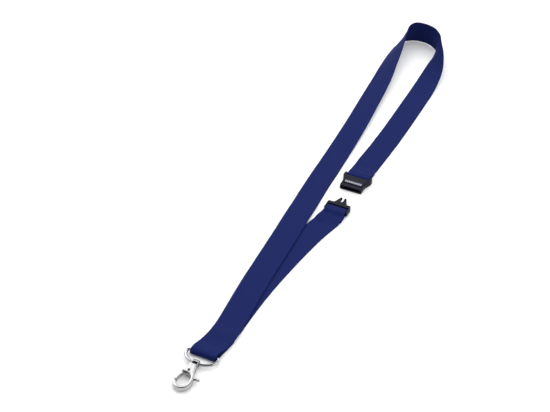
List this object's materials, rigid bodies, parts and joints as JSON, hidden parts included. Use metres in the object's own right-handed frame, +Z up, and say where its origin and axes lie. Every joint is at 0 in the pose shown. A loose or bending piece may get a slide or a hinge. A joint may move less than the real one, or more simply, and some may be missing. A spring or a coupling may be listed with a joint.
{
  "type": "lanyard with snap hook",
  "caption": "Flat woven neck lanyard laid out flat, with an open side-release safety buckle, a D-ring and a sprung snap hook that carries a badge holder.",
  "frame": {"origin": "centre of the laid-out lanyard's footprint, on the table surface", "axes": "+Y from the snap hook towards the neck loop, +X across the ribbon towards the buckle side, +Z up from the table"},
  "size_m": [0.0588, 0.4744, 0.0204],
  "materials": {
    "ribbon_polyester_blue": "fine woven polyester, matt with a slight sheen",
    "buckle_pom_anthracite": "moulded acetal, satin",
    "nickel_plated_zinc": "bright nickel plate on cast zinc and steel wire",
    "spring_steel": "drawn spring wire"
  },
  "bodies": {
    "straps": {"long_strap": "ribbon_polyester_blue", "short_strap": "ribbon_polyester_blue", "buckle_socket": "buckle_pom_anthracite"},
    "ring": {"d_ring": "nickel_plated_zinc"},
    "hook": {"hook_body": "nickel_plated_zinc", "hook_rivet": "nickel_plated_zinc", "trigger_spring": "spring_steel"},
    "trigger": {"hook_trigger": "nickel_plated_zinc"},
    "plug": {"buckle_plug": "buckle_pom_anthracite"}
  },
  "joints": [
    {"name": "ring_swing", "type": "hinge", "parent": "straps", "child": "ring", "pos_m": [-0.00564, -0.20139, 0.0027], "axis": [-1, 0, 0], "range_deg": [-110, 110]},
    {"name": "hook_swing", "type": "hinge", "parent": "ring", "child": "hook", "pos_m": [-0.00564, -0.19458, 0.0027], "axis": [0, 0, 1], "range_deg": [-18, 22]},
    {"name": "trigger_open", "type": "hinge", "parent": "hook", "child": "trigger", "pos_m": [-0.00673, -0.22005, 0.0027], "axis": [0, 0, 1], "range_deg": [0, 30], "stiffness_Nm_per_rad": 0.027, "springref_deg": -13.18, "deforming": ["trigger_spring"]},
    {"name": "buckle_close", "type": "slide", "parent": "straps", "child": "plug", "axis": [0, 1, 0], "range_m": [0, 0.021], "deforming": ["short_strap"]}
  ]
}
